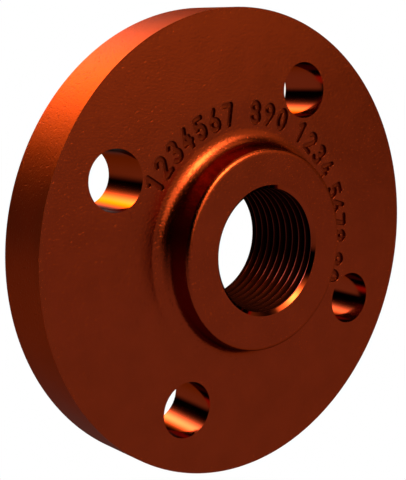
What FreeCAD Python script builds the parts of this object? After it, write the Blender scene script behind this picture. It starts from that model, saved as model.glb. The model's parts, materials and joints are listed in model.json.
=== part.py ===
import FreeCAD, Part
import math
import os
import Sketcher

# Threaded hub flange for one inch pipe, forged in one piece and then machined.
# Millimetres. The origin is the centre of the raised gasket face, which the flange lies on,
# and +Z is the bore's axis, pointing to the hub.

SIZES = {
    # Disc: its diameter at the hub side, and the forging draft that widens it to the back
    "rim_diameter": 115.0,
    "rim_draft": 3.0,
    "disc_thickness": 14.0,
    # Raised gasket face under the disc
    "seat_diameter": 68.0,
    "seat_height": 2.0,
    # Hub: its diameter at the top face, and the draft that widens it to the disc
    "hub_diameter": 49.2,
    "hub_draft": 7.0,
    "hub_height": 8.0,
    "hub_root_radius": 4.0,
    "hub_edge_radius": 1.3,
    # Bore at the crests of its pipe thread, with the chamfers that start the pipe
    "bore_diameter": 30.291,
    "mouth_chamfer": 0.85,
    "back_chamfer": 1.0,
    # Bolt holes, the first one half a step from +X
    "bolt_circle": 85.0,
    "bolt_hole_diameter": 14.0,
    "bolt_count": 4,
}

NODE = "flange"
MATCH = 0.001


def make_sheet(doc):
    """The driving sizes as a spreadsheet, one named cell each."""
    sheet = doc.addObject("Spreadsheet::Sheet", "sizes")
    for row, (name, value) in enumerate(SIZES.items(), start=1):
        sheet.set(f"A{row}", name)
        sheet.set(f"B{row}", str(value))
        sheet.setAlias(f"B{row}", name)
    doc.recompute()
    return sheet


def draft_slope(degrees):
    """How far a drafted wall leans outwards for each millimetre of its height."""
    return math.tan(math.radians(degrees))


def origin_feature(body, role):
    """One of the body's own origin planes or axes."""
    return next(item for item in body.Origin.OriginFeatures if item.Role == role)


def new_sketch(body, name, plane):
    sketch = body.newObject("Sketcher::SketchObject", name)
    sketch.AttachmentSupport = [(origin_feature(body, plane), "")]
    sketch.MapMode = "FlatFace"
    return sketch


def dimension(sketch, name, expression, *constraint):
    """A named sketch dimension that follows the sheet."""
    index = sketch.addConstraint(Sketcher.Constraint(*constraint))
    sketch.renameConstraint(index, name)
    sketch.setExpression(f".Constraints.{name}", expression)


def section_sketch(body, sheet):
    """Half section of the blank: gasket face, disc with its draft, and hub with its draft."""
    seat_radius = sheet.seat_diameter / 2
    rim_radius = sheet.rim_diameter / 2
    rim_back_radius = rim_radius + sheet.disc_thickness * draft_slope(sheet.rim_draft)
    hub_radius = sheet.hub_diameter / 2
    hub_root_radius = hub_radius + sheet.hub_height * draft_slope(sheet.hub_draft)
    disc_top = sheet.seat_height + sheet.disc_thickness
    hub_top = disc_top + sheet.hub_height
    corners = [
        (0, 0),
        (seat_radius, 0),
        (seat_radius, sheet.seat_height),
        (rim_back_radius, sheet.seat_height),
        (rim_radius, disc_top),
        (hub_root_radius, disc_top),
        (hub_radius, hub_top),
        (0, hub_top),
    ]
    seat, seat_wall, disc_back, rim, disc_face, hub_wall, hub_face, axis = range(len(corners))

    sketch = new_sketch(body, "section", "XZ_Plane")
    points = [FreeCAD.Vector(x, z, 0) for x, z in corners]
    for start, end in zip(points, points[1:] + points[:1]):
        sketch.addGeometry(Part.LineSegment(start, end), False)
    for line in range(len(corners)):
        sketch.addConstraint(Sketcher.Constraint("Coincident", line, 2, (line + 1) % len(corners), 1))
    for line in (seat, disc_back, disc_face, hub_face):
        sketch.addConstraint(Sketcher.Constraint("Horizontal", line))
    for line in (seat_wall, axis):
        sketch.addConstraint(Sketcher.Constraint("Vertical", line))
    sketch.addConstraint(Sketcher.Constraint("Coincident", seat, 1, -1, 1))

    radii = [
        ("seat_radius", seat, 2, seat_radius, "<<sizes>>.seat_diameter / 2"),
        ("rim_radius", rim, 2, rim_radius, "<<sizes>>.rim_diameter / 2"),
        (
            "rim_back_radius", rim, 1, rim_back_radius,
            "<<sizes>>.rim_diameter / 2 + <<sizes>>.disc_thickness * tan(<<sizes>>.rim_draft)",
        ),
        ("hub_radius", hub_wall, 2, hub_radius, "<<sizes>>.hub_diameter / 2"),
        (
            "hub_root", hub_wall, 1, hub_root_radius,
            "<<sizes>>.hub_diameter / 2 + <<sizes>>.hub_height * tan(<<sizes>>.hub_draft)",
        ),
    ]
    for name, line, end, radius, expression in radii:
        dimension(sketch, name, expression, "DistanceX", -1, 1, line, end, radius)
    heights = [("seat_height", seat_wall), ("disc_thickness", rim), ("hub_height", hub_wall)]
    for name, line in heights:
        height = getattr(sheet, name)
        dimension(sketch, name, f"<<sizes>>.{name}", "DistanceY", line, 1, line, 2, height)
    return sketch


def round_edges_at(shape, height):
    """Names of the full circles about the axis at one height, from the smallest outwards."""
    found = []
    for number, edge in enumerate(shape.Edges, start=1):
        circle = edge.Curve
        if not isinstance(circle, Part.Circle) or not edge.isClosed():
            continue
        on_axis = (circle.Center.x**2 + circle.Center.y**2) ** 0.5 < MATCH
        if on_axis and abs(circle.Center.z - height) < MATCH:
            found.append((circle.Radius, f"Edge{number}"))
    return [name for radius, name in sorted(found)]


def add_fillet(body, name, base, edges, size):
    fillet = body.newObject("PartDesign::Fillet", name)
    fillet.Base = (base, edges)
    fillet.setExpression("Radius", f"<<sizes>>.{size}")
    return fillet


def add_chamfer(body, name, base, edges, size):
    chamfer = body.newObject("PartDesign::Chamfer", name)
    chamfer.Base = (base, edges)
    chamfer.setExpression("Size", f"<<sizes>>.{size}")
    return chamfer


def add_blank(doc, body, sheet):
    """The forging: its section turned about the axis, with the hub's root and edge rounded."""
    blank = body.newObject("PartDesign::Revolution", "blank")
    blank.Profile = section_sketch(body, sheet)
    blank.ReferenceAxis = (origin_feature(body, "Z_Axis"), [""])
    blank.Angle = 360
    doc.recompute()

    disc_top = sheet.seat_height + sheet.disc_thickness
    root = round_edges_at(blank.Shape, disc_top)[:1]
    root_fillet = add_fillet(body, "hub_root_fillet", blank, root, "hub_root_radius")
    doc.recompute()
    edge = round_edges_at(root_fillet.Shape, disc_top + sheet.hub_height)
    add_fillet(body, "hub_edge_fillet", root_fillet, edge, "hub_edge_radius")
    doc.recompute()


def add_bore(doc, body, sheet):
    """The bore straight through, then a chamfer at its mouth and one at the gasket face."""
    sketch = new_sketch(body, "bore_circle", "XY_Plane")
    origin = FreeCAD.Vector(0, 0, 0)
    bore_circle = Part.Circle(origin, FreeCAD.Vector(0, 0, 1), sheet.bore_diameter / 2)
    circle = sketch.addGeometry(bore_circle, False)
    sketch.addConstraint(Sketcher.Constraint("Coincident", circle, 3, -1, 1))
    dimension(sketch, "bore", "<<sizes>>.bore_diameter", "Diameter", circle, sheet.bore_diameter)
    bore = body.newObject("PartDesign::Pocket", "bore")
    bore.Profile = sketch
    bore.Type = "ThroughAll"
    bore.Reversed = True
    doc.recompute()

    hub_top = sheet.seat_height + sheet.disc_thickness + sheet.hub_height
    mouth = add_chamfer(body, "mouth", bore, round_edges_at(bore.Shape, hub_top)[:1], "mouth_chamfer")
    doc.recompute()
    add_chamfer(body, "back_mouth", mouth, round_edges_at(mouth.Shape, 0)[:1], "back_chamfer")
    doc.recompute()


def add_bolt_holes(doc, body, sheet):
    """One bolt hole half a step round from +X, and its copies round the bolt circle."""
    reach = sheet.bolt_circle / 2
    half_step = math.pi / sheet.bolt_count
    centre = FreeCAD.Vector(reach * math.cos(half_step), reach * math.sin(half_step), 0)
    sketch = new_sketch(body, "bolt_hole_circle", "XY_Plane")
    spoke = sketch.addGeometry(Part.LineSegment(FreeCAD.Vector(0, 0, 0), centre), True)
    hole_circle = Part.Circle(centre, FreeCAD.Vector(0, 0, 1), sheet.bolt_hole_diameter / 2)
    circle = sketch.addGeometry(hole_circle, False)
    sketch.addConstraint(Sketcher.Constraint("Coincident", spoke, 1, -1, 1))
    sketch.addConstraint(Sketcher.Constraint("Coincident", spoke, 2, circle, 3))
    dimension(sketch, "reach", "<<sizes>>.bolt_circle / 2", "Distance", spoke, reach)
    dimension(sketch, "half_step", "180 / <<sizes>>.bolt_count", "Angle", -1, 1, spoke, 1, half_step)
    hole_size = sheet.bolt_hole_diameter
    dimension(sketch, "hole", "<<sizes>>.bolt_hole_diameter", "Diameter", circle, hole_size)
    doc.recompute()

    hole = body.newObject("PartDesign::Pocket", "bolt_hole")
    hole.Profile = sketch
    hole.Type = "ThroughAll"
    hole.Reversed = True
    doc.recompute()

    pattern = body.newObject("PartDesign::PolarPattern", "bolt_holes")
    pattern.Originals = [hole]
    pattern.Axis = (origin_feature(body, "Z_Axis"), [""])
    pattern.Angle = 360
    pattern.setExpression("Occurrences", "<<sizes>>.bolt_count")
    body.Tip = pattern
    doc.recompute()


def check(doc, body):
    """Stop on any failed object, a bad solid, or a step that added or cut nothing."""
    for item in doc.Objects:
        if "Invalid" in item.State or "Error" in item.State:
            raise RuntimeError(f"{item.Name} failed: {item.State}")
    steps = [item for item in body.Group if item.isDerivedFrom("PartDesign::Feature")]
    for before, after in zip(steps, steps[1:]):
        if abs(after.Shape.Volume - before.Shape.Volume) < MATCH:
            raise RuntimeError(f"{after.Name} changed nothing")
    shape = body.Shape
    if shape.isNull() or not shape.isValid() or len(shape.Solids) != 1:
        raise RuntimeError(f"{body.Label} is not one valid solid")


def main():
    doc = FreeCAD.newDocument("threaded_flange")
    sheet = make_sheet(doc)
    body = doc.addObject("PartDesign::Body", NODE)
    body.Label = NODE
    body.Placement = FreeCAD.Placement()
    add_blank(doc, body, sheet)
    add_bore(doc, body, sheet)
    add_bolt_holes(doc, body, sheet)
    check(doc, body)
    os.makedirs("parts", exist_ok=True)
    body.Shape.exportStep(f"parts/{NODE}.step")
    box = body.Shape.BoundBox
    size = f"{box.XLength:.2f} x {box.YLength:.2f} x {box.ZLength:.2f} mm"
    print(f"{NODE}: {size}, {body.Shape.Volume:.0f} mm3")


main()
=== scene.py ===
import json
import math

import bmesh
import bpy
import numpy as np
from mathutils import Matrix, Vector
from mathutils.geometry import delaunay_2d_cdt


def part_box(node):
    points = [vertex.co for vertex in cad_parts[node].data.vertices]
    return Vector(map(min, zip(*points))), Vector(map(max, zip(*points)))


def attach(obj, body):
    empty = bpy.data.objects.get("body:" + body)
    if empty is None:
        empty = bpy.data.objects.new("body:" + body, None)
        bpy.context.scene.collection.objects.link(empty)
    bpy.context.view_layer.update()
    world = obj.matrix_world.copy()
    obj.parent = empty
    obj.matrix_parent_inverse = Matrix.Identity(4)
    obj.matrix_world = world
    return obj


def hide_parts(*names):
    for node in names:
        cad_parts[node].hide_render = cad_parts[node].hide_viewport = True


# Threaded hub flange, lying on its gasket face with the hub up.
# Sizes are in millimetres until a mesh is made, which is in metres as the frame is.
# The camera looks down on the lying flange and is turned about its own axis, so that the
# picture shows the flange as if it stood on its rim.

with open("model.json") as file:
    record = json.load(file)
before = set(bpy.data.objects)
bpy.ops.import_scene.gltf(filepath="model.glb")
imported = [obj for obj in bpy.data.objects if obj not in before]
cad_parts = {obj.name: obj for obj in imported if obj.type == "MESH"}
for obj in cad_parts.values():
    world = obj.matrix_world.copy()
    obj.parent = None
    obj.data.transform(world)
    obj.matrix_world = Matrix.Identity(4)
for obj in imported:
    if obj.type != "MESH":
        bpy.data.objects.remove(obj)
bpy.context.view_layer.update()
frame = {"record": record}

MM = 0.001
NODE = "flange"

# Sizes from the frame and its mounts
MOUNTS = {mount["name"]: mount for mount in frame["record"]["mounts"]}
HUB_TOP = round(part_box(NODE)[1].z / MM, 3)
DISC_FACE = MOUNTS["bolt_holes"]["pos_m"][2] / MM
BOLT_REACH = MOUNTS["bolt_holes"]["dims"]["pcd_mm"] / 2
BOLT_RADIUS = MOUNTS["bolt_holes"]["dims"]["hole_r_mm"]
BOLT_COUNT = MOUNTS["bolt_holes"]["dims"]["count"]
BORE_RADIUS = MOUNTS["pipe_thread"]["dims"]["r_mm"]

# The rest of the section, as the CAD source has it
SEAT_RADIUS = 34.0
SEAT_HEIGHT = 2.0
RIM_RADIUS = 57.5
RIM_DRAFT = math.radians(3)
HUB_RADIUS = 24.6
HUB_DRAFT = math.radians(7)
ROOT_RADIUS = 4.0
EDGE_RADIUS = 1.3
MOUTH_CHAMFER = 0.85
BACK_CHAMFER = 1.0

# Pipe thread, 11 per inch, full rounded 55 degree form, right hand
PITCH = 25.4 / 11
THREAD_DEPTH = 0.6403 * PITCH
THREAD_ROUNDING = 0.1373 * PITCH
HALF_ANGLE = math.radians(27.5)
# One place that its crest goes through, and how far it fades out at both ends of the bore
CREST_ANGLE = math.radians(-60)
CREST_HEIGHT = 20.8
RUN_OUT = 0.9

# Ring of plain digits: each group's text, the angle of its first digit and the step to the next,
# in degrees
DIGIT_GROUPS = [
    ("1234567", 129.5, 7.9),
    ("890", 67.0, 7.9),
    ("1234", 38.5, 8.1),
    ("5678", 2.0, 7.4),
    ("90", -31.0, 8.0),
]
# How far the digits' feet are from the axis, and how tall and wide a digit is
DIGIT_BASE = 29.9
DIGIT_HEIGHT = 6.0
DIGIT_WIDTH = 3.7
# The recess of a stroke, from its edge in the disc's face to its floor: half its width and its depth
STROKE_EDGE = 0.68
STROKE_LEVELS = [
    (STROKE_EDGE, 0.0),
    (0.63, 0.05),
    (0.61, 0.11),
    (0.56, 0.62),
    (0.52, 0.69),
    (0.46, 0.71),
]

# Mesh density: vertices round the axis, in one pitch of the thread, round a bolt hole and along
# the two arcs of the section, and the grid on which the digits are traced
COLUMNS = 256
THREAD_ROWS = 14
HOLE_COLUMNS = 96
FILLET_STEPS = 16
EDGE_STEPS = 8
TRACE_STEP = 0.17
# Vertices closer than this are one, and edges over this angle stay sharp
WELD = 1e-7
SHARP_ANGLE = math.radians(28)

# Which finish a face has
CAST = 0
RIM = 1
MACHINED = 2
THREAD = 3
MOUTH = 4
MARK = 5

# Camera, in metres: where it is, the way it looks and what it holds upright
CAMERA_PLACE = Vector((-0.1216, 0.08228, 0.175585))
CAMERA_AIM = Vector((0.52723, -0.36065, -0.76939))
CAMERA_UP = Vector((0.41802, 0.89840, -0.13467))
CAMERA_LENS = 65.6
SENSOR = 36.0

# The reflected studio. Its up is the picture's, in degrees round +Z. The room is grey from its
# bottom, at 0, and fades to black between two heights on the way to its top, at 1
UPWARDS = 71
ROOM_LEVEL = 0.4
ROOM_FADE = (0.4, 0.55)
# An edge is the power of a light's falloff: soft fades from its middle, square only near its edge
SOFT = 1
SQUARE = 5
# Lights: degrees round +Z and above the disc's face, half the angle that the light fills, its edge
# and its strength. The comments say where each is as the picture shows it
OVERHEAD_BOX = (73, 38, 12, SOFT, 24)
REAR_BOX = (69, -57, 13, SOFT, 27)
FILLS = [
    (92, 63, 20, SQUARE, 2),  # high over the disc's face
    (45, 38, 15, SQUARE, 3),  # upper right
    (25, 50, 30, SQUARE, 0.7),  # upper right, broad
    (60, -5, 30, SQUARE, 1),  # above, nearly level with the face
    (-5, 5, 20, SOFT, 0.5),  # right
]
# Dark screens in the same terms, which take light out of the room
SCREENS = [
    (165, 18, 25, SOFT, 0.35),  # left
    (-35, -50, 30, SQUARE, 0.4),  # right, behind the flange
]
WHITE = (1.0, 1.0, 1.0, 1.0)
WARM = (1.0, 1.0, 0.6, 1.0)
# Light that comes by a second reflection: its share and its limit
SECOND_SHARE = 0.8
SECOND_LIMIT = 2.0

# Copper-red bronze: its colour head on, and how much of the usual gloss it has at a grazing angle
BRONZE = (0.3, 0.0335, 0.0094)
GRAZING = (0.42, 0.44, 0.438, 1.0)
# The worn metal of the thread's crests with a painted highlight in its colour, how dark its grooves are
# painted as shade, and how rough they are
CREST_WEAR_AND_HIGHLIGHT = (0.4, 0.064, 0.045, 1.0)
GROOVE_PAINTED_SHADE = 0.03
GROOVE_ROUGHNESS = 0.45
# The thread's wear and painted highlight, set off from the painted shade of its grooves: how far out of
# its crests it reaches, then the heights and the places along X between which it grows, all in metres,
# with the share that it grows from
WEAR_AND_HIGHLIGHT_DEPTHS = (0.00001, 0.00006)
WEAR_AND_HIGHLIGHT_HEIGHTS = (0.004, 0.021)
WEAR_AND_HIGHLIGHT_HEIGHT_START = 0.25
WEAR_AND_HIGHLIGHT_SIDE = (0.0061, 0.0086)
WEAR_AND_HIGHLIGHT_SIDE_START = 0.2

# Noise: its features per metre and its layers of finer detail
GRAIN = (2100, 2)
PITS = (1500, 0)
CLOUDS = (130, 3)
TOOL_MARKS = (6000, 1)
TARNISH = (300, 2)
SOIL = (900, 3)
# The part of the noise's range that is used, for the pits and for all else
PIT_REACH = (0.24, 0.3)
NOISE_REACH = (0.3, 0.7)
# What it does: shares of the bronze's colour, what it adds to a roughness, and what it
# multiplies one by
CLOUD_TONES = (0.95, 1.05)
TARNISH_TONES = (0.97, 1.03)
CLOUD_ROUGHNESS = (-0.02, 0.02)
TOOL_MARK_ROUGHNESS = (-0.02, 0.03)
SOIL_ROUGHNESS = (0.7, 1.0)
# Relief, in metres: the cast grain with the pits' share of it, the tool marks, and a faint hollow
# round the hub with the radii at which it is deepest and ends
GRAIN_DEPTH = 0.00005
PIT_SHARE = 0.6
TOOL_MARK_DEPTH = 0.000001
HOLLOW_DEPTH = 0.00025
HOLLOW_REACH = (0.0285, 0.0365)


class Shell:
    """Collects the vertices and faces of one closed mesh, in millimetres."""

    def __init__(self):
        self.points = []
        self.faces = []
        self.finishes = []

    def add(self, x, y, z):
        """A new vertex. Gives back its number."""
        self.points.append((x, y, z))
        return len(self.points) - 1

    def loop(self, points, height):
        """Vertices at one height from a closed outline."""
        return [self.add(x, y, height) for x, y in points]

    def ring(self, radius, height):
        """One vertex for each column round the bore's axis."""
        return self.loop(circle(radius, COLUMNS), height)

    def face(self, corners, finish):
        """A face, without the corners that repeat the one before."""
        kept = [corner for k, corner in enumerate(corners) if corner != corners[k - 1]]
        if len(kept) > 2:
            self.faces.append(kept)
            self.finishes.append(finish)

    def band(self, lower, upper, finish):
        """Faces between two closed loops with as many vertices each."""
        for k in range(len(lower)):
            self.face([lower[k - 1], lower[k], upper[k], upper[k - 1]], finish)

    def bands(self, loops, finish):
        """Bands from each loop to the next."""
        for lower, upper in zip(loops, loops[1:]):
            self.band(lower, upper, finish)

    def flat(self, loops, finish):
        """Triangles between closed loops, seen from above. A loop inside another is its hole."""
        corners = []
        edges = []
        for loop in loops:
            start = len(corners)
            edges += [(start + k, start + (k + 1) % len(loop)) for k in range(len(loop))]
            corners += loop
        plane = [Vector(self.points[corner][:2]) for corner in corners]
        whole_hull = 0
        found = delaunay_2d_cdt(plane, edges, [], whole_hull, WELD)
        triangles = np.array(found[2])
        middles = np.array([point[:] for point in found[0]])[triangles].mean(axis=1)
        outlines = [np.array([self.points[corner][:2] for corner in loop]) for loop in loops]
        for triangle in triangles[enclosed(middles, outlines)]:
            self.face([corners[found[3][vertex][0]] for vertex in triangle], finish)

    def make(self, name, materials):
        """The finished object, in metres."""
        mesh = bpy.data.meshes.new(name)
        mesh.from_pydata([tuple(MM * c for c in point) for point in self.points], [], self.faces)
        mesh.polygons.foreach_set("material_index", self.finishes)
        for material in materials:
            mesh.materials.append(material)
        bm = bmesh.new()
        bm.from_mesh(mesh)
        bmesh.ops.remove_doubles(bm, verts=bm.verts, dist=WELD)
        bmesh.ops.recalc_face_normals(bm, faces=bm.faces)
        bm.to_mesh(mesh)
        bm.free()
        mesh.shade_smooth()
        mesh.set_sharp_from_angle(angle=SHARP_ANGLE)
        made = bpy.data.objects.new(name, mesh)
        bpy.context.scene.collection.objects.link(made)
        weighted = made.modifiers.new("weighted_normals", "WEIGHTED_NORMAL")
        weighted.keep_sharp = True
        return made


def circle(radius, count, centre=(0.0, 0.0)):
    """Points round a circle, counter-clockwise from +X."""
    turn = 2 * math.pi / count
    angles = [k * turn for k in range(count)]
    return [(centre[0] + radius * math.cos(t), centre[1] + radius * math.sin(t)) for t in angles]


def enclosed(points, outlines):
    """Which points lie inside an odd number of closed outlines."""
    x, y = points[:, :1], points[:, 1:]
    crossings = np.zeros(len(points), dtype=int)
    for outline in outlines:
        ax, ay = outline.T
        bx, by = np.roll(outline, -1, axis=0).T
        spans = (ay > y) != (by > y)
        rise = np.where(by == ay, 1, by - ay)
        crossings += (spans & (x < ax + (y - ay) * (bx - ax) / rise)).sum(axis=1)
    return crossings % 2 == 1


def arc(centre, radius, start, end, steps):
    """Points of the section (radius, height) along an arc, ends included."""
    turn = (end - start) / steps
    angles = [start + k * turn for k in range(steps + 1)]
    return [(centre[0] + radius * math.cos(t), centre[1] + radius * math.sin(t)) for t in angles]


def hub_wall(height):
    """Radius of the hub's drafted wall at a height."""
    return HUB_RADIUS + (HUB_TOP - height) * math.tan(HUB_DRAFT)


def hub_section():
    """The hub from the disc's face to its own: root fillet, drafted wall and rounded edge."""
    root_height = DISC_FACE + ROOT_RADIUS
    root_centre = (hub_wall(root_height) + ROOT_RADIUS / math.cos(HUB_DRAFT), root_height)
    edge_height = HUB_TOP - EDGE_RADIUS
    edge_centre = (hub_wall(edge_height) - EDGE_RADIUS / math.cos(HUB_DRAFT), edge_height)
    root = arc(root_centre, ROOT_RADIUS, math.radians(270), math.pi + HUB_DRAFT, FILLET_STEPS)
    edge = arc(edge_centre, EDGE_RADIUS, HUB_DRAFT, math.radians(90), EDGE_STEPS)
    return root + edge


def bolt_circles():
    """Outlines of the bolt holes, the first one half a step round from +X."""
    found = []
    for k in range(BOLT_COUNT):
        angle = 2 * math.pi * (k + 0.5) / BOLT_COUNT
        centre = (BOLT_REACH * math.cos(angle), BOLT_REACH * math.sin(angle))
        found.append(circle(BOLT_RADIUS, HOLE_COLUMNS, centre))
    return found


def digit_strokes():
    """Centre lines of the ten digits as lists of points, with x from the middle and y from the base."""
    side = DIGIT_WIDTH / 2 - STROKE_EDGE
    top = DIGIT_HEIGHT - 2 * STROKE_EDGE
    middle = 0.52 * top
    small = (top - middle) / 2
    large = middle / 2

    def oval(centre, across, up, start=0, end=360):
        steps = 24
        angles = [math.radians(start + (end - start) * k / steps) for k in range(steps + 1)]
        return [(centre[0] + across * math.cos(t), centre[1] + up * math.sin(t)) for t in angles]

    upper = (0, top - small)
    lower = (0, large)
    return {
        "0": [oval((0, top / 2), side, top / 2)],
        "1": [[(-0.7 * side, 0.78 * top), (0.3 * side, top), (0.3 * side, 0)]],
        "2": [oval((0, top - side), side, side, 160, -35) + [(-side, 0), (side, 0)]],
        "3": [oval(upper, 0.9 * side, small, 150, -90), oval(lower, side, large, 90, -150)],
        "4": [
            [(0.3 * side, top), (-side, 0.3 * top), (side, 0.3 * top)],
            [(0.5 * side, 0.55 * top), (0.5 * side, 0)],
        ],
        "5": [
            [(0.9 * side, top), (-0.8 * side, top), (-0.9 * side, 0.52 * top)],
            oval((0, 0.3 * top), side, 0.3 * top, 135, -150),
        ],
        "6": [oval(lower, side, large), [(-0.95 * side, 0.4 * top), (0.4 * side, top)]],
        "7": [[(-side, top), (side, top), (-0.3 * side, 0)]],
        "8": [oval(upper, 0.9 * side, small), oval(lower, side, large)],
        "9": [oval((0, top - large), side, large), [(0.95 * side, 0.6 * top), (-0.4 * side, 0)]],
    }


def stroke_distance(strokes, x, y):
    """Distance from points, given as arrays, to the nearest centre line."""
    nearest = np.full(x.shape, np.inf)
    for stroke in strokes:
        for (ax, ay), (bx, by) in zip(stroke, stroke[1:]):
            dx, dy = bx - ax, by - ay
            along = ((x - ax) * dx + (y - ay) * dy) / (dx * dx + dy * dy)
            along = np.clip(along, 0, 1)
            nearest = np.minimum(nearest, np.hypot(x - ax - along * dx, y - ay - along * dy))
    return nearest


def traced(field, level, low, step):
    """Closed outlines along which a gridded field has a level. The grid starts at low."""
    inside = field < level
    onward = {}
    places = {}
    rows, columns = field.shape
    for row in range(rows - 1):
        for column in range(columns - 1):
            corners = [(row, column), (row, column + 1), (row + 1, column + 1), (row + 1, column)]
            leaving = []
            entering = []
            for k, start in enumerate(corners):
                end = corners[(k + 1) % 4]
                if inside[start] == inside[end]:
                    continue
                side = (min(start, end), max(start, end))
                share = (level - field[start]) / (field[end] - field[start])
                places[side] = (
                    low[0] + step * (start[1] + share * (end[1] - start[1])),
                    low[1] + step * (start[0] + share * (end[0] - start[0])),
                )
                (leaving if inside[start] else entering).append((k, side))
            for k, side in leaving:
                onward[side] = min(entering, key=lambda other: (other[0] - k) % 4)[1]
    outlines = []
    while onward:
        side = next(iter(onward))
        outline = []
        while side in onward:
            outline.append(places[side])
            side = onward.pop(side)
        outlines.append(outline)
    return outlines


def digit_levels():
    """For each digit, its outlines at every level of the recess."""
    low = (-DIGIT_WIDTH / 2 - 2 * TRACE_STEP, -STROKE_EDGE - 2 * TRACE_STEP)
    across = np.arange(low[0], DIGIT_WIDTH / 2 + 2 * TRACE_STEP, TRACE_STEP)
    up = np.arange(low[1], DIGIT_HEIGHT - STROKE_EDGE + 2 * TRACE_STEP, TRACE_STEP)
    x, y = np.meshgrid(across, up)
    found = {}
    for character, strokes in digit_strokes().items():
        field = stroke_distance(strokes, x, y)
        found[character] = [traced(field, reach, low, TRACE_STEP) for reach, depth in STROKE_LEVELS]
    return found


def add_digits(shell):
    """The ring of recessed digits, tops outwards. Gives back its outlines in the disc's face."""
    levels = digit_levels()
    openings = []
    for text, first, step in DIGIT_GROUPS:
        for k, character in enumerate(text):
            angle = math.radians(first - k * step)
            out = Vector((math.cos(angle), math.sin(angle)))
            along = Vector((math.sin(angle), -math.cos(angle)))
            base = DIGIT_BASE + STROKE_EDGE
            loops = [
                [
                    shell.loop([out * (base + y) + along * x for x, y in outline], DISC_FACE - depth)
                    for outline in outlines
                ]
                for outlines, (reach, depth) in zip(levels[character], STROKE_LEVELS)
            ]
            for outer, inner in zip(loops, loops[1:]):
                shell.flat(outer + inner, MARK)
            shell.flat(loops[-1], MARK)
            openings += loops[0]
    return openings


def thread_depth(turns):
    """How far the thread is cut outwards from its crests: straight flanks, rounded crest and root."""
    away = abs((turns + 0.5) % 1.0 - 0.5) * PITCH
    reach = THREAD_ROUNDING * math.cos(HALF_ANGLE)
    rounded = THREAD_ROUNDING * (1 - math.sin(HALF_ANGLE))
    if away < reach:
        return THREAD_ROUNDING - math.sqrt(THREAD_ROUNDING**2 - away**2)
    if away > PITCH / 2 - reach:
        return THREAD_DEPTH - THREAD_ROUNDING + math.sqrt(THREAD_ROUNDING**2 - (PITCH / 2 - away) ** 2)
    return rounded + (away - reach) / math.tan(HALF_ANGLE)


def ease(value):
    """Smooth step from 0 to 1."""
    value = min(max(value, 0.0), 1.0)
    return value * value * (3 - 2 * value)


def add_thread(shell, lower, upper, bottom, top):
    """The threaded bore between two rings. Its rows of vertices follow the helix, and each column
    ends on the rings."""
    first = math.floor((bottom - CREST_HEIGHT) / PITCH - 1) * THREAD_ROWS
    last = math.ceil((top - CREST_HEIGHT) / PITCH + 1) * THREAD_ROWS
    row_step = PITCH / THREAD_ROWS
    columns = []
    for k in range(COLUMNS):
        angle = 2 * math.pi * k / COLUMNS
        climb = CREST_HEIGHT + PITCH * (angle - CREST_ANGLE) / (2 * math.pi)
        column = {}
        for row in range(first - THREAD_ROWS, last + THREAD_ROWS):
            height = climb + row * row_step
            if height <= bottom + WELD:
                column[row] = lower[k]
            elif height >= top - WELD:
                column[row] = upper[k]
            else:
                fade = ease((top - height) / RUN_OUT) * ease((height - bottom) / RUN_OUT)
                radius = BORE_RADIUS + fade * thread_depth(row / THREAD_ROWS)
                column[row] = shell.add(radius * math.cos(angle), radius * math.sin(angle), height)
        columns.append(column)
    for k in range(COLUMNS):
        here = columns[k]
        ahead = columns[(k + 1) % COLUMNS]
        shift = THREAD_ROWS if k + 1 == COLUMNS else 0
        for row in range(first - THREAD_ROWS, last - 1):
            corners = [here[row], ahead[row + shift], ahead[row + 1 + shift], here[row + 1]]
            shell.face(corners, THREAD)


def build_flange(materials):
    """The whole forging as one closed mesh."""
    shell = Shell()
    rim_back = RIM_RADIUS + (DISC_FACE - SEAT_HEIGHT) * math.tan(RIM_DRAFT)

    # Turned section, from the gasket face outwards and up to the hub's mouth
    seat_inner = shell.ring(BORE_RADIUS + BACK_CHAMFER, 0)
    seat_outer = shell.ring(SEAT_RADIUS, 0)
    seat_top = shell.ring(SEAT_RADIUS, SEAT_HEIGHT)
    back_edge = shell.ring(rim_back, SEAT_HEIGHT)
    front_edge = shell.ring(RIM_RADIUS, DISC_FACE)
    hub = [shell.ring(radius, height) for radius, height in hub_section()]
    mouth_outer = shell.ring(BORE_RADIUS + MOUTH_CHAMFER, HUB_TOP)
    mouth_inner = shell.ring(BORE_RADIUS, HUB_TOP - MOUTH_CHAMFER)
    back_inner = shell.ring(BORE_RADIUS, BACK_CHAMFER)
    shell.bands([seat_inner, seat_outer, seat_top], MACHINED)
    shell.band(back_edge, front_edge, RIM)
    shell.bands(hub, CAST)
    shell.band(hub[-1], mouth_outer, CAST)
    shell.band(mouth_outer, mouth_inner, MOUTH)
    shell.band(back_inner, seat_inner, MACHINED)
    add_thread(shell, back_inner, mouth_inner, BACK_CHAMFER, HUB_TOP - MOUTH_CHAMFER)

    # Disc faces with the bolt holes and the digits
    front_holes = [shell.loop(outline, DISC_FACE) for outline in bolt_circles()]
    back_holes = [shell.loop(outline, SEAT_HEIGHT) for outline in bolt_circles()]
    for front, back in zip(front_holes, back_holes):
        shell.band(back, front, MACHINED)
    shell.flat([back_edge, seat_top] + back_holes, CAST)
    shell.flat([front_edge, hub[0]] + front_holes + add_digits(shell), CAST)
    return shell.make("flange_forging", materials)


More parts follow.
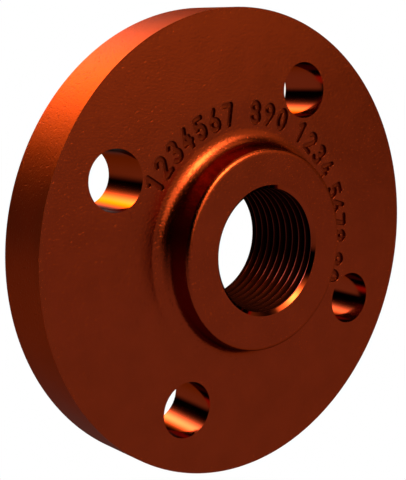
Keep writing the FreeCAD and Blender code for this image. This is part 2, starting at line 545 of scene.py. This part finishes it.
class Nodes:
    """A short way to write a node tree."""

    def __init__(self, tree):
        self.tree = tree
        tree.nodes.clear()

    def add(self, kind, **settings):
        """A new node with its settings."""
        node = self.tree.nodes.new(kind)
        for name, value in settings.items():
            setattr(node, name, value)
        return node

    def join(self, source, target):
        self.tree.links.new(source, target)

    def math(self, operation, *inputs, **settings):
        """A Math node whose inputs are numbers or sockets."""
        node = self.add("ShaderNodeMath", operation=operation, **settings)
        for k, value in enumerate(inputs):
            if isinstance(value, (int, float)):
                node.inputs[k].default_value = value
            else:
                self.join(value, node.inputs[k])
        return node.outputs[0]

    def spread(self, value, low, high, first, last, run="LINEAR"):
        """A value between low and high, spread to run from first to last and held there."""
        node = self.add("ShaderNodeMapRange", interpolation_type=run)
        self.join(value, node.inputs["Value"])
        for name, number in (("From Min", low), ("From Max", high), ("To Min", first), ("To Max", last)):
            node.inputs[name].default_value = number
        return node.outputs["Result"]

    def mix(self, share, first, last):
        """A colour between two others."""
        node = self.add("ShaderNodeMix", data_type="RGBA")
        self.join(share, node.inputs[0])
        node.inputs[6].default_value = first
        node.inputs[7].default_value = last
        return node.outputs[2]

    def noise(self, place, scale, detail):
        """Soft noise between 0 and 1."""
        node = self.add("ShaderNodeTexNoise")
        self.join(place, node.inputs["Vector"])
        node.inputs["Scale"].default_value = scale
        node.inputs["Detail"].default_value = detail
        return node.outputs["Fac"]

    def bump(self, height, depth):
        """A normal from a height, of which 1 stands for a depth in metres."""
        node = self.add("ShaderNodeBump")
        self.join(height, node.inputs["Height"])
        node.inputs["Distance"].default_value = depth
        return node.outputs["Normal"]

    def along(self, axis, place):
        """One of the three coordinates of a place."""
        parts = self.add("ShaderNodeSeparateXYZ")
        self.join(place, parts.inputs[0])
        return parts.outputs[axis]

    def radius(self, place):
        """How far a place is from the bore's axis."""
        parts = self.add("ShaderNodeSeparateXYZ")
        self.join(place, parts.inputs[0])
        x, y = parts.outputs["X"], parts.outputs["Y"]
        squares = self.math("ADD", self.math("MULTIPLY", x, x), self.math("MULTIPLY", y, y))
        return self.math("SQRT", squares)

    def tool_path(self, place):
        """A place in which only the way across the tool marks counts: up a wall, outwards on a face."""
        parts = self.add("ShaderNodeSeparateXYZ")
        self.join(place, parts.inputs[0])
        normal = self.add("ShaderNodeSeparateXYZ")
        self.join(self.add("ShaderNodeNewGeometry").outputs["True Normal"], normal.inputs[0])
        flat = self.math("GREATER_THAN", self.math("ABSOLUTE", normal.outputs["Z"]), 0.5)
        across = self.math("MULTIPLY_ADD", self.radius(place), flat, parts.outputs["Z"])
        path = self.add("ShaderNodeCombineXYZ")
        self.join(across, path.inputs["X"])
        return path.outputs[0]


def metal(name, roughness):
    """A new material and its nodes, with the plain shader of the bronze."""
    material = bpy.data.materials.new(name)
    material.use_nodes = True
    nodes = Nodes(material.node_tree)
    shader = nodes.add("ShaderNodeBsdfPrincipled")
    shader.inputs["Metallic"].default_value = 1.0
    shader.inputs["Specular Tint"].default_value = GRAZING
    shader.inputs["Roughness"].default_value = roughness
    output = nodes.add("ShaderNodeOutputMaterial")
    nodes.join(shader.outputs["BSDF"], output.inputs["Surface"])
    return material, nodes, shader


def shade(colour, share):
    """A colour made lighter or darker, with its alpha."""
    return tuple(share * channel for channel in colour) + (1.0,)


def make_cast(name, roughness, soil_and_shade=1.0):
    """As forged and blasted: a very fine grain, faint clouds, a few tiny pits and the faint hollow
    round the hub. Its colour is multiplied by a share of painted shade, which is below 1 only for the
    recessed digits, where it darkens their recesses."""
    material, nodes, shader = metal(name, roughness)
    place = nodes.add("ShaderNodeTexCoord").outputs["Object"]
    grain = nodes.noise(place, *GRAIN)
    clouds = nodes.noise(place, *CLOUDS)
    pits = nodes.spread(nodes.noise(place, *PITS), *PIT_REACH, 0.0, 1.0)
    tone = nodes.math("MULTIPLY", nodes.spread(clouds, *NOISE_REACH, 0.0, 1.0), pits)
    # The last argument darkens the colour as painted shade where it is below 1
    colour = nodes.mix(tone, *[shade(BRONZE, share * soil_and_shade) for share in CLOUD_TONES])
    gloss = nodes.spread(clouds, *NOISE_REACH, *[roughness + more for more in CLOUD_ROUGHNESS])
    deepest = -HOLLOW_DEPTH / GRAIN_DEPTH
    hollow = nodes.spread(nodes.radius(place), *HOLLOW_REACH, deepest, 0.0, "SMOOTHSTEP")
    texture = nodes.math("ADD", grain, nodes.math("MULTIPLY", pits, PIT_SHARE))
    height = nodes.math("ADD", hollow, texture)
    nodes.join(colour, shader.inputs["Base Color"])
    nodes.join(gloss, shader.inputs["Roughness"])
    nodes.join(nodes.bump(height, GRAIN_DEPTH), shader.inputs["Normal"])
    return material


def make_machined(name, roughness):
    """Cut bright, with fine tool marks: rings on the flat faces and round the walls of the holes."""
    material, nodes, shader = metal(name, roughness)
    place = nodes.add("ShaderNodeTexCoord").outputs["Object"]
    marks = nodes.noise(nodes.tool_path(place), *TOOL_MARKS)
    tarnish = nodes.noise(place, *TARNISH)
    colour = nodes.mix(tarnish, *[shade(BRONZE, share) for share in TARNISH_TONES])
    gloss = nodes.spread(marks, *NOISE_REACH, *[roughness + more for more in TOOL_MARK_ROUGHNESS])
    nodes.join(colour, shader.inputs["Base Color"])
    nodes.join(gloss, shader.inputs["Roughness"])
    nodes.join(nodes.bump(marks, TOOL_MARK_DEPTH), shader.inputs["Normal"])
    return material


def make_threaded(name, roughness):
    """The thread: painted shade darkens its grooves, and its crests are worn bright with a painted
    highlight, most of all near the mouth and at +X."""
    material, nodes, shader = metal(name, roughness)
    place = nodes.add("ShaderNodeTexCoord").outputs["Object"]
    depth = nodes.math("SUBTRACT", nodes.radius(place), BORE_RADIUS * MM)
    crest = nodes.spread(depth, *WEAR_AND_HIGHLIGHT_DEPTHS, 1.0, 0.0)
    upwards = nodes.spread(nodes.along("Z", place), *WEAR_AND_HIGHLIGHT_HEIGHTS, WEAR_AND_HIGHLIGHT_HEIGHT_START, 1.0)
    sideways = nodes.spread(nodes.along("X", place), *WEAR_AND_HIGHLIGHT_SIDE, WEAR_AND_HIGHLIGHT_SIDE_START, 1.0)
    wear_and_highlight = nodes.math("MULTIPLY", nodes.math("MULTIPLY", upwards, sideways), crest)
    soil_and_shade = nodes.spread(nodes.noise(place, *SOIL), *NOISE_REACH, *SOIL_ROUGHNESS)
    gloss = nodes.math("MULTIPLY", soil_and_shade, nodes.spread(wear_and_highlight, 0, 1, GROOVE_ROUGHNESS, roughness))
    # Grooves get a painted shade, and crests their wear with a painted highlight
    colour = nodes.mix(wear_and_highlight, shade(BRONZE, GROOVE_PAINTED_SHADE), CREST_WEAR_AND_HIGHLIGHT)
    nodes.join(colour, shader.inputs["Base Color"])
    nodes.join(gloss, shader.inputs["Roughness"])
    return material


def make_floor():
    """A plain white floor that the flange lies on. It glows evenly, and no reflection shows it."""
    reach = 40.0
    mesh = bpy.data.meshes.new("floor")
    corners = [(-reach, -reach, 0), (reach, -reach, 0), (reach, reach, 0), (-reach, reach, 0)]
    mesh.from_pydata(corners, [], [(0, 1, 2, 3)])
    floor = bpy.data.objects.new("floor", mesh)
    bpy.context.scene.collection.objects.link(floor)
    material = bpy.data.materials.new("floor_white")
    material.use_nodes = True
    nodes = Nodes(material.node_tree)
    glow = nodes.add("ShaderNodeEmission")
    glow.inputs["Strength"].default_value = 1.0
    glow.inputs["Color"].default_value = WHITE
    output = nodes.add("ShaderNodeOutputMaterial")
    nodes.join(glow.outputs["Emission"], output.inputs["Surface"])
    mesh.materials.append(material)
    floor.visible_glossy = False
    floor.visible_diffuse = False
    floor.visible_shadow = False
    return floor


def direction(azimuth, elevation):
    """A unit vector from degrees round +Z and above the floor."""
    around, above = math.radians(azimuth), math.radians(elevation)
    level = math.cos(above)
    return Vector((math.cos(around) * level, math.sin(around) * level, math.sin(above)))


def make_studio():
    """Soft studio light: a grey room with dark screens, a white box behind the flange, and a warm
    box above with warm fills. The camera sees plain white."""
    world = bpy.data.worlds.new("studio")
    bpy.context.scene.world = world
    world.cycles.sampling_method = "NONE"
    world.use_nodes = True
    nodes = Nodes(world.node_tree)
    place = nodes.add("ShaderNodeTexCoord").outputs["Generated"]

    def along(axis):
        """How far the way to a place in the world points along an axis, from -1 to 1."""
        dot = nodes.add("ShaderNodeVectorMath", operation="DOT_PRODUCT")
        nodes.join(place, dot.inputs[0])
        dot.inputs[1].default_value = axis
        return dot.outputs["Value"]

    def soft_box(azimuth, elevation, half_angle, edge, strength):
        """The light of one box, brightest in its middle."""
        away = nodes.math("SUBTRACT", 1.0, along(direction(azimuth, elevation)))
        reach = 1 - math.cos(math.radians(half_angle))
        scaled = nodes.math("DIVIDE", nodes.math("MAXIMUM", away, 0.0), reach)
        falloff = nodes.math("POWER", scaled, edge)
        share = nodes.math("EXPONENT", nodes.math("MULTIPLY", falloff, -1.0))
        return nodes.math("MULTIPLY", share, strength)

    height = nodes.math("MULTIPLY_ADD", along(direction(UPWARDS, 0)), 0.5, 0.5)
    room = nodes.spread(height, *ROOM_FADE, ROOM_LEVEL, 0.0, "SMOOTHSTEP")
    path = nodes.add("ShaderNodeLightPath")
    first = nodes.math("LESS_THAN", path.outputs["Glossy Depth"], 1.5)

    def glow(colour, light):
        """A background that gives less light to second reflections."""
        dimmed = nodes.math("MINIMUM", nodes.math("MULTIPLY", light, SECOND_SHARE), SECOND_LIMIT)
        chosen = nodes.add("ShaderNodeMix", data_type="FLOAT")
        nodes.join(first, chosen.inputs["Factor"])
        nodes.join(dimmed, chosen.inputs["A"])
        nodes.join(light, chosen.inputs["B"])
        background = nodes.add("ShaderNodeBackground")
        background.inputs["Color"].default_value = colour
        nodes.join(chosen.outputs["Result"], background.inputs["Strength"])
        return background.outputs["Background"]

    for screen in SCREENS:
        room = nodes.math("SUBTRACT", room, soft_box(*screen))
    white = nodes.math("ADD", nodes.math("MAXIMUM", room, 0.0), soft_box(*REAR_BOX))
    warm = soft_box(*OVERHEAD_BOX)
    for box in FILLS:
        warm = nodes.math("ADD", warm, soft_box(*box))
    both = nodes.add("ShaderNodeAddShader")
    nodes.join(glow(WHITE, white), both.inputs[0])
    nodes.join(glow(WARM, warm), both.inputs[1])
    seen = nodes.add("ShaderNodeBackground")
    seen.inputs["Color"].default_value = WHITE
    switch = nodes.add("ShaderNodeMixShader")
    nodes.join(path.outputs["Is Camera Ray"], switch.inputs["Fac"])
    nodes.join(both.outputs["Shader"], switch.inputs[1])
    nodes.join(seen.outputs["Background"], switch.inputs[2])
    output = nodes.add("ShaderNodeOutputWorld")
    nodes.join(switch.outputs["Shader"], output.inputs["Surface"])


def make_camera():
    """The photograph's camera."""
    data = bpy.data.cameras.new("camera")
    data.sensor_width = SENSOR
    data.lens = CAMERA_LENS
    data.clip_start = 0.01
    data.clip_end = 200
    camera = bpy.data.objects.new("camera", data)
    bpy.context.scene.collection.objects.link(camera)
    back = -CAMERA_AIM.normalized()
    right = CAMERA_UP.cross(back).normalized()
    up = back.cross(right)
    turn = Matrix((right, up, back)).transposed().to_4x4()
    camera.matrix_world = Matrix.Translation(CAMERA_PLACE) @ turn
    bpy.context.scene.camera = camera


# The finishes in the order of their numbers, each with its roughness
finishes = {
    CAST: make_cast("cast_bronze", 0.21),
    RIM: make_cast("rim_bronze", 0.43),
    MACHINED: make_machined("machined_bronze", 0.11),
    THREAD: make_threaded("threaded_bronze", 0.5),
    MOUTH: make_machined("turned_bronze", 0.04),
    # The digits' recesses get painted shade: their colour is darkened to two thirds
    MARK: make_cast("marked_bronze", 0.3, soil_and_shade=0.67),
}
flange = build_flange(finishes.values())
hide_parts(NODE)
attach(flange, "root")
make_floor()
make_studio()
make_camera()
bpy.context.scene.view_settings.view_transform = "Standard"
